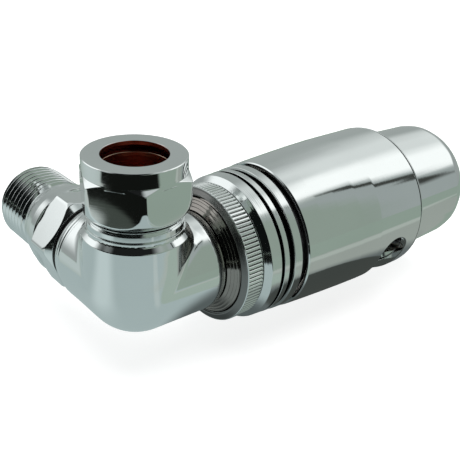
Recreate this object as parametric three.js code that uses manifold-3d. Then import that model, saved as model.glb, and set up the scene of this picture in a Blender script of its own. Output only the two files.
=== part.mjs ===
// Corner thermostatic radiator valve, millimetres.
// The origin is where the centrelines of the three ports cross.
// +Z runs up the pipe port, +Y along the radiator tail, +X along the thermostatic head.
import * as THREE from 'three';
import { mergeVertices } from 'three/addons/utils/BufferGeometryUtils.js';
import Module from 'manifold-3d';

const wasm = await Module();
wasm.setup();

// ---- driving dimensions -------------------------------------------------------------------
const GAP = 0.3;                      // clearance between separate pieces
const TURN = Math.PI * 2;
const COARSE = 12;                    // facets round a small turned piece
const MEDIUM = 20;                    // facets round a middle-sized turned piece
const FINE = 32;                      // facets round a large turned piece

const PIPE_RADIUS = 7.5;              // 15 mm copper pipe
const SOCKET_RADIUS = PIPE_RADIUS + 0.15;
const SOCKET_FLOOR = 12.5;
const SOCKET_MOUTH_RADIUS = 9.85;     // the cone that the olive seals on
const FEED_RADIUS = 3;                // drilling from the pipe socket to the seat chamber
const FEED_OFFSET = 8.1;
const OUTLET_RADIUS = 5.2;            // drilling from the seat to the tail
const OUTLET_OFFSET = -2;
const COLUMN_RADIUS = 12.5;
const COLUMN_SHOULDER = 13.2;
const PIPE_THREAD_RADIUS = 10.1;
const PIPE_THREAD_TOP = 26;

const NUT_ACROSS_FLATS = 23.4;
const NUT_BOTTOM = 18.1;
const NUT_HEX_TOP = 28;
const NUT_TOP = 31.6;
const NUT_COLLAR_RADIUS = 11.85;
const NUT_THREAD_RADIUS = 10.5;
const NUT_CORNER_ANGLE = -112;        // degrees from +X to one corner of the hexagon

const HEAD_ARM_RADIUS = 12.75;
const HEAD_ARM_END = 17.4;
const TAIL_ARM_RADIUS = 12.6;
const TAIL_ARM_END = 14.5;
const TAIL_FACE = 18.4;               // end of the body's turned tail collar
const TAIL_SOCKET_RADIUS = 9.9;
const TAIL_SOCKET_FLOOR = 10.6;
const CORNER_SPHERE_RADIUS = 12.8;

const SEAT_HOLE_RADIUS = 4.6;
const SEAT_LIP_RADIUS = 5.8;
const SEAT_FACE = 6.4;
const CHAMBER_FLOOR = 5.4;
const CHAMBER_RADIUS = 8.4;
const CHAMBER_END = 11.5;
const INSERT_BORE_RADIUS = 10;

const TAIL_THREAD_RADIUS = 10.45;     // G1/2 male thread
const TAIL_THREAD_PITCH = 1.814;
const TAIL_THREAD_DEPTH = 1.16;
const TAIL_THREAD_START = 38.4;
const TAIL_THREAD_TURNS = 7;
const TAIL_END = 51.8;
const TAIL_BORE_RADIUS = 6.5;
const TAIL_PLUG_RADIUS = 9.55;
const TAIL_PLUG_START = 11.2;
const TAIL_SEAL_RADIUS = 10.5;
const TAIL_SEAL_SECTION = 0.5;
const TAIL_HEX_START = 19.7;
const TAIL_HEX_END = 28.3;             // the flats stop in a step against the shoulder
const TAIL_SHOULDER_END = 35.6;
const TAIL_CORNER_ANGLE = -113;       // degrees about +Y to one corner of the hexagon

const HEAD_THREAD_RADIUS = 15;        // M30 x 1.5
const HEAD_THREAD_PITCH = 1.5;
const BONNET_START = 13;
const BONNET_SHOULDER = 22.4;
const SPRING_SEAT = 21.9;
const SEAL_FLOOR = 23.1;
const BONNET_TOWER_RADIUS = 6.8;
const BONNET_END = 28;
const SPINDLE_RADIUS = 1.5;
const SPINDLE_BORE = SPINDLE_RADIUS + GAP;
const SPINDLE_START = 10.5;
const SPINDLE_END = 33;
const WASHER_FACE = 8.4;              // 2 mm open at rest
const SCREW_RADIUS = 0.9;

const RING_FRONT = 19.3;
const RING_BACK = 24.8;
const RING_RADIUS = 17.55;
const RING_RIDGES = 104;
const RING_RIDGE_DEPTH = 0.45;

const BASE_FRONT = 25.2;
const BASE_BACK = 36;
const BASE_NECK_RADIUS = 13.3;
const CLIP_STATION = 23.25;
const CLIP_WIDTH = 0.5;
const CLIP_RADIUS = 14.8;
const RING_BORE = 15.3;
const RING_MOUTH = 15.6;
const BASE_BORE = 8;
const BARREL_FRONT = 38;
const BARREL_END = 80.6;
const BARREL_RADIUS = 20.85;
const BARREL_BORE = 18.9;
const SLOT_WIDTH = 10.4;
const SLOT_CENTRE = 71.6;
const SLOT_FIRST_ANGLE = 96;          // degrees from the top, round the barrel
const SLOT_LAST_ANGLE = 162;
const TRIM_END = 82;
const CAP_END = 109.4;
const CAP_RADIUS = 17.95;
const CAP_CORNER = 7.4;
const CAP_WALL = 1.7;
const CAP_RIM_RADIUS = 17.1;          // where the straight wall meets the rounded corner
const CAP_FLANGE_START = 78.4;

// ---- materials ----------------------------------------------------------------------------
function finish(color, roughness, metalness) {
  return () => new THREE.MeshStandardMaterial({ color, roughness, metalness });
}
const chrome = finish(0xc9d0d0, 0.06, 1);
const darkChrome = finish(0x9aa3a1, 0.12, 1);
const brass = finish(0xb8963f, 0.35, 1);
const steel = finish(0xa8abae, 0.3, 1);
const springSteel = finish(0x8d9196, 0.35, 1);
const copper = finish(0x7a3a2a, 0.4, 1);
const rubber = finish(0x141414, 0.8, 0);
const blackPlastic = finish(0x18191a, 0.5, 0);
const whitePlastic = finish(0xd8d6cf, 0.5, 0);

// ---- solid helpers ------------------------------------------------------------------------
// A closed three.js geometry becomes a manifold solid with merged vertices and outward faces.
function toSolid(source) {
  const geometry = source.index ? source.toNonIndexed() : source.clone();
  geometry.deleteAttribute('normal');
  geometry.deleteAttribute('uv');
  const merged = mergeVertices(geometry, 1e-4);
  const position = merged.attributes.position.array;
  const corners = [];
  const index = merged.index.array;
  let volume = 0;
  for (let i = 0; i < index.length; i += 3) {
    const [a, b, c] = [index[i], index[i + 1], index[i + 2]];
    if (a === b || b === c || c === a) continue;
    corners.push(a, b, c);
    const [p, q, r] = [a, b, c].map((k) => new THREE.Vector3().fromArray(position, k * 3));
    volume += p.dot(q.cross(r));
  }
  if (volume < 0) corners.reverse();
  return new wasm.Manifold(new wasm.Mesh({
    numProp: 3,
    vertProperties: new Float32Array(position),
    triVerts: new Uint32Array(corners),
  }));
}

function toGeometry(solid) {
  const mesh = solid.getMesh();
  const geometry = new THREE.BufferGeometry();
  geometry.setAttribute('position', new THREE.BufferAttribute(new Float32Array(mesh.vertProperties), 3));
  geometry.setIndex(new THREE.BufferAttribute(new Uint32Array(mesh.triVerts), 1));
  geometry.computeVertexNormals();
  return geometry;
}

// Turned solid about local Y. Each point is [station, radius], and the outline closes on itself.
function turned(points, facets = FINE) {
  const outline = points.map(([station, radius]) => new THREE.Vector2(radius, station));
  const [first, last] = [points[0], points[points.length - 1]];
  if (first[1] > 0 || last[1] > 0) outline.push(outline[0].clone());
  return toSolid(new THREE.LatheGeometry(outline, facets));
}

// Tube from one station to another, with an outer and an inner radius.
function sleeve(from, to, outer, inner, facets = FINE) {
  return turned([[from, inner], [from, outer], [to, outer], [to, inner]], facets);
}

function rod(from, to, radius, facets = FINE) {
  return turned([[from, 0], [from, radius], [to, radius], [to, 0]], facets);
}

// Hexagonal prism about local Y, with one corner at the given angle round Y.
function hexPrism(from, to, acrossFlats, cornerDegrees = 0) {
  const height = to - from;
  const radius = acrossFlats / Math.sqrt(3);
  const geometry = new THREE.CylinderGeometry(radius, radius, height, 6);
  geometry.rotateY(THREE.MathUtils.degToRad(cornerDegrees));
  geometry.translate(0, from + height / 2, 0);
  return toSolid(geometry);
}

// Ring of round section about local Y, such as a seal.
function ringSeal(station, radius, section, facets = MEDIUM) {
  const geometry = new THREE.TorusGeometry(radius, section, 8, facets);
  geometry.rotateX(Math.PI / 2);
  geometry.translate(0, station, 0);
  return toSolid(geometry);
}

// Coil spring about local Y, as round wire swept along a helix.
class Helix extends THREE.Curve {
  constructor(from, to, radius, turns) {
    super();
    Object.assign(this, { from, to, radius, turns });
  }

  getPoint(t, target = new THREE.Vector3()) {
    const angle = t * this.turns * TURN;
    const height = this.from + t * (this.to - this.from);
    return target.set(this.radius * Math.cos(angle), height, this.radius * Math.sin(angle));
  }
}

function coil(from, to, radius, wire, turns) {
  const section = new THREE.Shape().absarc(0, 0, wire, 0, TURN);
  return toSolid(new THREE.ExtrudeGeometry(section, {
    extrudePath: new Helix(from + wire, to - wire, radius, turns),
    steps: turns * 9,
    curveSegments: 3,
    bevelEnabled: false,
  }));
}

// Arc of [station, radius] points, from one angle to another, with 0 along +station.
function arc(station, radius, size, fromDegrees, toDegrees, steps) {
  return Array.from({ length: steps + 1 }, (_, k) => {
    const angle = THREE.MathUtils.degToRad(fromDegrees + ((toDegrees - fromDegrees) * k) / steps);
    return [station + size * Math.cos(angle), radius + size * Math.sin(angle)];
  });
}

// Outline points of a run of thread, as V grooves of the given pitch and depth.
function threadOutline(start, pitch, turns, radius, depth) {
  const points = [];
  for (let k = 0; k < turns; k += 1) {
    const crest = start + k * pitch;
    points.push([crest, radius], [crest + pitch / 2, radius - depth]);
  }
  return points;
}

// ---- placing ------------------------------------------------------------------------------
// The three port groups turn local Y onto the row's +Z, +X and +Y.
const valve = new THREE.Group();
const pipeSide = new THREE.Group();
const headSide = new THREE.Group();
const tailSide = new THREE.Group();
pipeSide.rotation.x = Math.PI / 2;
headSide.rotation.z = -Math.PI / 2;
valve.add(pipeSide, headSide, tailSide);

function place(group, name, solid, material) {
  const mesh = new THREE.Mesh(toGeometry(solid), material());
  mesh.name = name;
  group.add(mesh);
  return mesh;
}

function alongPipe(solid) {
  return solid.rotate([90, 0, 0]);
}

function alongHead(solid) {
  return solid.rotate([0, 0, -90]);
}

function joined(solids) {
  return solids.reduce((whole, solid) => whole.add(solid));
}

// ---- valve body and connections -----------------------------------------------------------
function valveBody() {
  const pipeArm = turned([
    [0, 0], [0, COLUMN_RADIUS], [COLUMN_SHOULDER, COLUMN_RADIUS], [14, 11.5], [14.9, 11.5],
    [15.05, 11], [15.25, 11.25], [16.5, 11.25], [16.7, 10.95], [17.5, 11.1],
    [17.7, PIPE_THREAD_RADIUS], [PIPE_THREAD_TOP, PIPE_THREAD_RADIUS], [PIPE_THREAD_TOP, 0],
  ]);
  const headArm = turned([
    [0, 0], [0, HEAD_ARM_RADIUS], [14.8, HEAD_ARM_RADIUS + 0.1], [16.4, HEAD_ARM_RADIUS - 0.15],
    [HEAD_ARM_END, 12.1], [HEAD_ARM_END, 0],
  ]);
  const tailArm = turned([
    [0, 0], [0, TAIL_ARM_RADIUS], [TAIL_ARM_END - 0.4, TAIL_ARM_RADIUS + 0.1], [TAIL_ARM_END, 12.3],
    [TAIL_ARM_END + 0.2, 11.8], [TAIL_ARM_END + 0.6, 12.05], [17.8, 11.8],
    [TAIL_FACE, 11.2], [TAIL_FACE, 0],
  ]);
  const corner = toSolid(new THREE.SphereGeometry(CORNER_SPHERE_RADIUS, 24, 12));
  const outside = joined([alongPipe(pipeArm), alongHead(headArm), tailArm, corner]);

  const socket = turned([
    [SOCKET_FLOOR, 0], [SOCKET_FLOOR, SOCKET_RADIUS], [24, SOCKET_RADIUS],
    [26.2, SOCKET_MOUTH_RADIUS], [26.2, 0],
  ]);
  const feed = rod(4, SOCKET_FLOOR + 1, FEED_RADIUS, COARSE).translate([FEED_OFFSET, 0, 0]);
  const seatHole = rod(-2, SEAT_FACE + 1, SEAT_HOLE_RADIUS, MEDIUM);
  const chamber = turned([
    [CHAMBER_FLOOR, SEAT_LIP_RADIUS], [CHAMBER_FLOOR, CHAMBER_RADIUS], [CHAMBER_END, CHAMBER_RADIUS],
    [CHAMBER_END, INSERT_BORE_RADIUS], [HEAD_ARM_END + 1, INSERT_BORE_RADIUS], [HEAD_ARM_END + 1, 0],
    [SEAT_FACE, 0], [SEAT_FACE, SEAT_LIP_RADIUS],
  ], MEDIUM);
  const outlet = rod(-5.4, 12, OUTLET_RADIUS, MEDIUM).translate([OUTLET_OFFSET, 0, 0]);
  const tailBore = rod(TAIL_SOCKET_FLOOR, TAIL_FACE + 1, TAIL_SOCKET_RADIUS, MEDIUM);
  const waterways = joined([
    alongPipe(socket), alongPipe(feed), alongHead(seatHole), alongHead(chamber), outlet, tailBore,
  ]);
  return outside.subtract(waterways);
}

function pipeNut() {
  const hex = hexPrism(NUT_BOTTOM, NUT_HEX_TOP, NUT_ACROSS_FLATS, 90 + NUT_CORNER_ANGLE);
  const turnedCorners = turned([
    [NUT_BOTTOM - 1, 0], [NUT_BOTTOM - 1, 10], [NUT_BOTTOM, 11.35], [19.5, 12.15], [21.5, 12.8],
    [24.2, 13.25], [26.9, 13.5], [NUT_HEX_TOP, NUT_COLLAR_RADIUS], [NUT_HEX_TOP, 0],
  ]);
  const collar = turned([
    [NUT_HEX_TOP - 0.8, 0], [NUT_HEX_TOP - 0.8, NUT_COLLAR_RADIUS], [NUT_TOP - 0.2, NUT_COLLAR_RADIUS],
    [NUT_TOP, NUT_COLLAR_RADIUS - 0.2], [NUT_TOP, 0],
  ]);
  const bore = turned([
    [NUT_BOTTOM - 2, 0], [NUT_BOTTOM - 2, NUT_THREAD_RADIUS], [27.8, NUT_THREAD_RADIUS],
    [30.65, SOCKET_RADIUS], [NUT_TOP + 1, SOCKET_RADIUS], [NUT_TOP + 1, 0],
  ]);
  return hex.intersect(turnedCorners).add(collar).subtract(bore);
}

function pipeOlive() {
  const inner = PIPE_RADIUS + 0.2;
  return turned([
    [25.2, inner], [25.2, 7.95], [26.5, 9.2], [27.6, 9.2], [28.9, 7.95], [28.9, inner],
  ], MEDIUM);
}

function radiatorTail() {
  const hex = hexPrism(TAIL_HEX_START, TAIL_HEX_END, NUT_ACROSS_FLATS, 90 + TAIL_CORNER_ANGLE);
  const turnedCorners = turned([
    [TAIL_HEX_START, 0], [TAIL_HEX_START, 11.5], [21, 12.9], [22, 13.35], [TAIL_HEX_END, 13.35],
    [TAIL_HEX_END, 0],
  ]);
  const plug = rod(TAIL_PLUG_START, TAIL_HEX_START + 1, TAIL_PLUG_RADIUS, FINE);
  const threadEnd = TAIL_THREAD_START + TAIL_THREAD_TURNS * TAIL_THREAD_PITCH;
  const spigot = turned([
    [TAIL_HEX_END - 0.1, 0], [TAIL_HEX_END - 0.1, 12.45], [29.1, 12.35], [29.2, 12.1],
    [31.5, 11.85], [34, 11.3], [TAIL_SHOULDER_END, 10.75], [36, 10.6], [36.6, 10.6], [36.9, 9.3], [37.9, 9.3],
    ...threadOutline(TAIL_THREAD_START, TAIL_THREAD_PITCH, TAIL_THREAD_TURNS - 1,
      TAIL_THREAD_RADIUS, TAIL_THREAD_DEPTH),
    [threadEnd - TAIL_THREAD_PITCH, TAIL_THREAD_RADIUS], [TAIL_END - 1, TAIL_THREAD_RADIUS],
    [TAIL_END, 9.5], [TAIL_END, 0],
  ]);
  const waterway = rod(10, TAIL_END + 1, TAIL_BORE_RADIUS, MEDIUM);
  return joined([hex.intersect(turnedCorners), plug, spigot]).subtract(waterway);
}

place(valve, 'valve_body', valveBody(), chrome);
place(pipeSide, 'pipe_nut', pipeNut(), chrome);
place(pipeSide, 'pipe_olive', pipeOlive(), brass);
place(tailSide, 'radiator_tail', radiatorTail(), chrome);
place(tailSide, 'tail_seal', ringSeal(
  (TAIL_FACE + TAIL_HEX_START) / 2, TAIL_SEAL_RADIUS, TAIL_SEAL_SECTION,
), rubber);

// ---- thermostatic insert in the head arm ---------------------------------------------------
function bonnet() {
  const outside = turned([
    [BONNET_START, 0], [BONNET_START, 9.7], [17.75, 9.7], [17.75, 12.3], [18.7, 14.1],
    ...threadOutline(18.9, HEAD_THREAD_PITCH, 2, HEAD_THREAD_RADIUS, 0.9),
    [21.9, HEAD_THREAD_RADIUS], [BONNET_SHOULDER, 14.4], [BONNET_SHOULDER, BONNET_TOWER_RADIUS],
    [BONNET_END, BONNET_TOWER_RADIUS], [BONNET_END, 0],
  ]);
  const inside = turned([
    [BONNET_START - 1, 0], [BONNET_START - 1, 6.7], [SPRING_SEAT, 6.7], [SPRING_SEAT, SPINDLE_BORE],
    [SEAL_FLOOR, SPINDLE_BORE], [SEAL_FLOOR, 3.2], [24.5, 3.2], [24.5, 5],
    [BONNET_END + 1, 5], [BONNET_END + 1, 0],
  ], MEDIUM);
  return outside.subtract(inside);
}

function glandNut() {
  const head = hexPrism(BONNET_END + GAP, 31, 9.4, 15);
  return head.add(rod(24.8, 29, 4.7, MEDIUM)).subtract(rod(24, 32, SPINDLE_BORE, COARSE));
}

place(headSide, 'valve_bonnet', bonnet(), darkChrome);
place(headSide, 'bonnet_o_ring', ringSeal(12.25, 9.15, 0.45), rubber);
place(headSide, 'gland_nut', glandNut(), brass);
place(headSide, 'gland_o_ring', ringSeal(SEAL_FLOOR + 0.7, 2.4, 0.4, COARSE), rubber);
place(headSide, 'spindle_guide', sleeve(14, 15, 6.3, SPINDLE_BORE, MEDIUM), brass);
place(headSide, 'spindle', turned([
  [SPINDLE_START, SCREW_RADIUS + GAP], [SPINDLE_START, SPINDLE_RADIUS],
  [SPINDLE_END - 0.4, SPINDLE_RADIUS], [SPINDLE_END, 1.1], [SPINDLE_END, 0],
  [14, 0], [14, SCREW_RADIUS + GAP],
], COARSE), steel);
place(headSide, 'spindle_collar', sleeve(19.6, 20.4, 5.4, SPINDLE_BORE, MEDIUM), steel);
place(headSide, 'spindle_spring', coil(15.3, 19.3, 4.4, 0.35, 3), springSteel);
place(headSide, 'disc_holder', sleeve(SPINDLE_START, 12, 6.2, SPINDLE_BORE, MEDIUM), brass);
place(headSide, 'disc_washer', sleeve(
  WASHER_FACE, SPINDLE_START - GAP, 6.1, SCREW_RADIUS + GAP, MEDIUM,
), rubber);
place(headSide, 'disc_screw', turned([
  [6.9, 0], [6.9, 2], [7.2, 2.4], [WASHER_FACE - GAP, 2.4], [WASHER_FACE - GAP, SCREW_RADIUS],
  [13.6, SCREW_RADIUS], [13.6, 0],
], COARSE), brass);

// ---- knurled union ring and grooved head base ---------------------------------------------
// The ridges are a saw-toothed ring outline, extruded along the head axis.
function knurledRing() {
  const outline = new THREE.Shape();
  for (let k = 0; k < RING_RIDGES; k += 1) {
    const crest = (k * TURN) / RING_RIDGES;
    const root = ((k + 0.5) * TURN) / RING_RIDGES;
    const inner = RING_RADIUS - RING_RIDGE_DEPTH;
    const start = k === 0 ? 'moveTo' : 'lineTo';
    outline[start](RING_RADIUS * Math.cos(crest), RING_RADIUS * Math.sin(crest));
    outline.lineTo(inner * Math.cos(root), inner * Math.sin(root));
  }
  const ridges = new THREE.ExtrudeGeometry(outline, {
    depth: RING_BACK - RING_FRONT - 0.5,
    bevelEnabled: false,
  });
  ridges.rotateX(-Math.PI / 2);
  ridges.translate(0, RING_FRONT + 0.5, 0);
  const nose = turned([
    [RING_FRONT, 0], [RING_FRONT, 16.5], [RING_FRONT + 0.5, RING_RADIUS - RING_RIDGE_DEPTH - 0.1],
    [RING_FRONT + 0.9, RING_RADIUS - RING_RIDGE_DEPTH - 0.1], [RING_FRONT + 0.9, 0],
  ]);
  const bore = turned([
    [RING_FRONT - 1, 0], [RING_FRONT - 1, RING_MOUTH], [RING_FRONT + 0.4, RING_MOUTH],
    [RING_FRONT + 0.4, RING_BORE], [24, RING_BORE], [24, BASE_NECK_RADIUS + GAP],
    [RING_BACK + 1, BASE_NECK_RADIUS + GAP], [RING_BACK + 1, 0],
  ]);
  return toSolid(ridges).add(nose).subtract(bore);
}

// The clip is open over a sixth of a turn, so that it can be sprung into its groove.
function ringClip() {
  const outline = new THREE.Shape();
  const half = THREE.MathUtils.degToRad(25);
  outline.absarc(0, 0, CLIP_RADIUS, half, TURN - half, false);
  outline.absarc(0, 0, BASE_NECK_RADIUS - GAP, TURN - half, half, true);
  outline.closePath();
  const clip = new THREE.ExtrudeGeometry(outline, {
    depth: CLIP_WIDTH,
    curveSegments: 20,
    bevelEnabled: false,
  });
  clip.rotateX(-Math.PI / 2);
  clip.translate(0, CLIP_STATION, 0);
  return toSolid(clip);
}

function headBase() {
  return turned([
    [22.7, BASE_BORE], [22.7, BASE_NECK_RADIUS], [23.1, BASE_NECK_RADIUS], [23.1, 12.7], [23.9, 12.7],
    [23.9, BASE_NECK_RADIUS], [BASE_FRONT, BASE_NECK_RADIUS], [BASE_FRONT, 17.1], [26.7, 18.8],
    [29.5, 18.95], [29.5, 17.4], [30.4, 17.4], [30.4, 19.05], [31.9, 19.1],
    [32.3, 18.1], [33.3, 18.1], [33.65, 19.3], [BASE_BACK, 19.4],
    [BASE_BACK, BASE_BORE],
  ]);
}

place(headSide, 'knurled_ring', knurledRing(), chrome);
place(headSide, 'ring_clip', ringClip(), springSteel);
place(headSide, 'head_base', headBase(), chrome);

// ---- thermostatic head inside --------------------------------------------------------------
// A slotted sleeve guides the sensor carrier. The carrier's lugs reach through its slots into
// the threaded liner of the handwheel, so that turning the handwheel slides the carrier.
const LUGS = 3;
const SLEEVE_RADIUS = 16.6;
const SLEEVE_BORE = 15;
const CARRIER_RADIUS = 14.7;
const LINER_BORE = 17.5;
const LUG_WIDTH = 6;

// A set of equal blocks across the head axis, one at each lug angle.
function lugBlocks(from, to, width, inner, outer) {
  const blocks = [];
  for (let k = 0; k < LUGS; k += 1) {
    const block = new THREE.BoxGeometry(width, to - from, outer - inner);
    block.translate(0, (from + to) / 2, (inner + outer) / 2);
    block.rotateY((k * TURN) / LUGS);
    blocks.push(toSolid(block));
  }
  return joined(blocks);
}

function guideSleeve() {
  const tube = turned([
    [BASE_BACK + GAP, 9.8], [BASE_BACK + GAP, 18.1], [37.6, 18.1], [37.6, SLEEVE_RADIUS],
    [64.6, SLEEVE_RADIUS], [64.6, 16], [65.7, 16], [65.7, SLEEVE_RADIUS], [66.3, SLEEVE_RADIUS],
    [66.3, SLEEVE_BORE], [37.9, SLEEVE_BORE], [37.9, 9.8],
  ], MEDIUM);
  return tube.subtract(lugBlocks(45, 61, LUG_WIDTH + 2 * GAP, 13, 19));
}

function sensorCarrier() {
  const cup = turned([
    [49, 4], [49, CARRIER_RADIUS], [59.5, CARRIER_RADIUS], [59.5, 12.6], [51, 12.6], [51, 4],
  ], MEDIUM);
  const lugs = lugBlocks(50, 56, LUG_WIDTH, 13.4, 18);
  return cup.add(lugs.intersect(rod(49, 60, LINER_BORE - GAP)));
}

function handwheelLiner() {
  const grooves = [];
  for (let station = 56; station > 50; station -= 3) {
    grooves.push([station + 1, LINER_BORE], [station, LINER_BORE + 0.5], [station - 1, LINER_BORE]);
  }
  return turned([
    [40, LINER_BORE], [40, BARREL_BORE - GAP], [64.2, BARREL_BORE - GAP], [64.2, LINER_BORE], ...grooves,
  ], MEDIUM);
}

function sensorCapsule() {
  return turned([
    [51.4, 2.4], [51.4, 12.2], [60.2, 12.2], [60.8, 13.2], [67, 13.2], [68, 12.3], [69, 13.2],
    [72, 13.2], [73, 12.3], [74, 13.2], [88, 13.2], [91, 11], [92, 5], [92, 0], [56.6, 0], [56.6, 2.4],
  ], MEDIUM);
}

place(headSide, 'guide_sleeve', guideSleeve(), blackPlastic);
place(headSide, 'sleeve_circlip', sleeve(64.9, 65.4, 17.6, 16.3, MEDIUM), springSteel);
place(headSide, 'sensor_carrier', sensorCarrier(), whitePlastic);
place(headSide, 'sensor_capsule', sensorCapsule(), copper);
place(headSide, 'capsule_piston', rod(43.9, 55.4, 2, COARSE), steel);
place(headSide, 'piston_cup', turned([
  [40.6, 0], [40.6, 9], [42.2, 9], [42.2, 3], [43.6, 3], [43.6, 0],
], MEDIUM), whitePlastic);
place(headSide, 'overtravel_spring', coil(42.5, 48.7, 6.6, 0.55, 4), springSteel);
place(headSide, 'push_pin', turned([
  [SPINDLE_END + GAP, 0], [SPINDLE_END + GAP, 7.4], [34.8, 7.4], [34.8, 4], [40.3, 4], [40.3, 0],
], MEDIUM), whitePlastic);

// ---- handwheel barrel and end cap ----------------------------------------------------------
// A slot cutter is a flat slot outline bent round the head axis.
function bentSlot(fromDegrees, toDegrees) {
  const radius = SLOT_WIDTH / 2;
  const bend = BARREL_RADIUS;
  const from = THREE.MathUtils.degToRad(fromDegrees) * bend + radius;
  const to = THREE.MathUtils.degToRad(toDegrees) * bend - radius;
  const points = [];
  const steps = 8;
  for (let k = 0; k <= steps; k += 1) {
    points.push(new THREE.Vector2(from + ((to - from) * k) / steps, -radius));
  }
  for (let k = 1; k < steps; k += 1) {
    const angle = -Math.PI / 2 + (Math.PI * k) / steps;
    points.push(new THREE.Vector2(to + radius * Math.cos(angle), radius * Math.sin(angle)));
  }
  for (let k = 0; k <= steps; k += 1) {
    points.push(new THREE.Vector2(to + ((from - to) * k) / steps, radius));
  }
  for (let k = 1; k < steps; k += 1) {
    const angle = Math.PI / 2 + (Math.PI * k) / steps;
    points.push(new THREE.Vector2(from + radius * Math.cos(angle), radius * Math.sin(angle)));
  }
  const slot = new THREE.ExtrudeGeometry(new THREE.Shape(points), { depth: 9, bevelEnabled: false });
  const corners = slot.attributes.position;
  for (let k = 0; k < corners.count; k += 1) {
    const angle = corners.getX(k) / bend;
    const station = SLOT_CENTRE + corners.getY(k);
    const out = BARREL_BORE - 3.4 + corners.getZ(k);
    corners.setXYZ(k, station, -out * Math.sin(angle), out * Math.cos(angle));
  }
  return toSolid(slot);
}

function handwheelBarrel() {
  const shell = turned([
    [BARREL_FRONT, BARREL_BORE], [BARREL_FRONT, 19.4], [38.3, 19.7], [44, 20.05], [50, 20.35], [57, 20.65],
    [64, BARREL_RADIUS], [BARREL_END, BARREL_RADIUS], [BARREL_END, BARREL_BORE],
  ]);
  const slots = bentSlot(SLOT_FIRST_ANGLE, SLOT_LAST_ANGLE);
  return alongHead(shell).subtract(slots).subtract(slots.mirror([0, 1, 0]));
}

// The cap's outside narrows slightly, then rounds into a flat end.
function endCap() {
  const shoulder = CAP_END - CAP_CORNER;
  const corner = CAP_RIM_RADIUS - CAP_CORNER;
  const inner = CAP_CORNER - CAP_WALL;
  return turned([
    [CAP_FLANGE_START, CAP_RADIUS - CAP_WALL], [CAP_FLANGE_START, BARREL_BORE - GAP],
    [BARREL_END - 0.2, BARREL_BORE - GAP], [BARREL_END - 0.2, CAP_RADIUS], [TRIM_END, CAP_RADIUS],
    ...arc(shoulder, corner, CAP_CORNER, 90, 0, 6), [CAP_END + 0.2, 0],
    [CAP_END - CAP_WALL, 0], ...arc(shoulder, corner, inner, 0, 90, 3),
  ]);
}

place(valve, 'handwheel_barrel', handwheelBarrel(), chrome);
place(headSide, 'handwheel_liner', handwheelLiner(), whitePlastic);
place(headSide, 'cap_trim_ring', turned([
  [BARREL_END + GAP, CAP_RADIUS + GAP], [BARREL_END + GAP, BARREL_RADIUS - 0.05], [81.4, 20.7],
  [81.9, 20.2], [TRIM_END, CAP_RADIUS + GAP],
]), chrome);
place(headSide, 'end_cap', endCap(), chrome);

export default valve;
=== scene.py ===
import math

import bmesh
import bpy
import numpy as np
from mathutils import Matrix, Vector


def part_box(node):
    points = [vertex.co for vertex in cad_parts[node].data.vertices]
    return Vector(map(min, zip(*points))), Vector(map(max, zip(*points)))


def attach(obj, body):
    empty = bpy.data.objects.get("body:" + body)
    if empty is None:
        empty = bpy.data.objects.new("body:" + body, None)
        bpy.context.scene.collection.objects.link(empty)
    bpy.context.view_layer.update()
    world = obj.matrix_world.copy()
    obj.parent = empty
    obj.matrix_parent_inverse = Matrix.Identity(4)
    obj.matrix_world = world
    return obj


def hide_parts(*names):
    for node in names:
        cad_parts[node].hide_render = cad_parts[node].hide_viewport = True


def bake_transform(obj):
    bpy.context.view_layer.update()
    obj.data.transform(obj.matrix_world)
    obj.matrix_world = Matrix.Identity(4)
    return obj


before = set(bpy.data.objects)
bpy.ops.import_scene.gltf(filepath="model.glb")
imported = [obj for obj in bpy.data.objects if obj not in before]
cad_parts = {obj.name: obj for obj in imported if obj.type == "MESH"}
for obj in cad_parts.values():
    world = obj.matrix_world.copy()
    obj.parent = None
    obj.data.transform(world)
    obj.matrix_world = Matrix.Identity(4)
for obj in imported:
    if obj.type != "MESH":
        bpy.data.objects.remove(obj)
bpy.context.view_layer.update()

MM = 0.001
TURN = 2 * math.pi
FINE = 256                       # steps round a large turned piece
MEDIUM = 160                     # steps round a small one
BEND_STEPS = 5                   # steps round each rounded corner of an outline


def low(node):
    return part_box(node)[0] / MM


def high(node):
    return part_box(node)[1] / MM


# ---- turned outlines ------------------------------------------------------------------------
def left_of(direction):
    return np.array([-direction[1], direction[0]])


def turned_by(vector, angle):
    c, s = math.cos(angle), math.sin(angle)
    return np.array([c * vector[0] - s * vector[1], s * vector[0] + c * vector[1]])


def rounded(points, bevel, closed=False):
    """An outline of (station, radius[, bevel]) points with its corners rounded, and its normals.

    The outside runs towards larger stations, so that the normal is on the left.
    """
    corners = [np.array(p[:2], float) for p in points]
    bevels = [p[2] if len(p) > 2 else bevel for p in points]
    path, normals = [], []
    last = len(corners) - 1
    for i, corner in enumerate(corners):
        if not closed and i in (0, last):
            step = corners[1] - corner if i == 0 else corner - corners[-2]
            path.append(corner)
            normals.append(left_of(step / np.linalg.norm(step)))
            continue
        before = corner - corners[i - 1]
        after = corners[0 if i == last else i + 1] - corner
        room = 0.45 * min(np.linalg.norm(before), np.linalg.norm(after))
        before = before / np.linalg.norm(before)
        after = after / np.linalg.norm(after)
        bend = math.atan2(before[0] * after[1] - before[1] * after[0], before @ after)
        if abs(bend) < 1e-3:
            path.append(corner)
            normals.append(left_of(before))
            continue
        cut = min(bevels[i] * math.tan(abs(bend) / 2), room)
        size = math.copysign(cut / math.tan(abs(bend) / 2), -bend)
        centre = corner - before * cut - size * left_of(before)
        for k in range(BEND_STEPS + 1):
            normal = turned_by(left_of(before), bend * k / BEND_STEPS)
            path.append(centre + size * normal)
            normals.append(normal)
    return np.array(path), np.array(normals)


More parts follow.
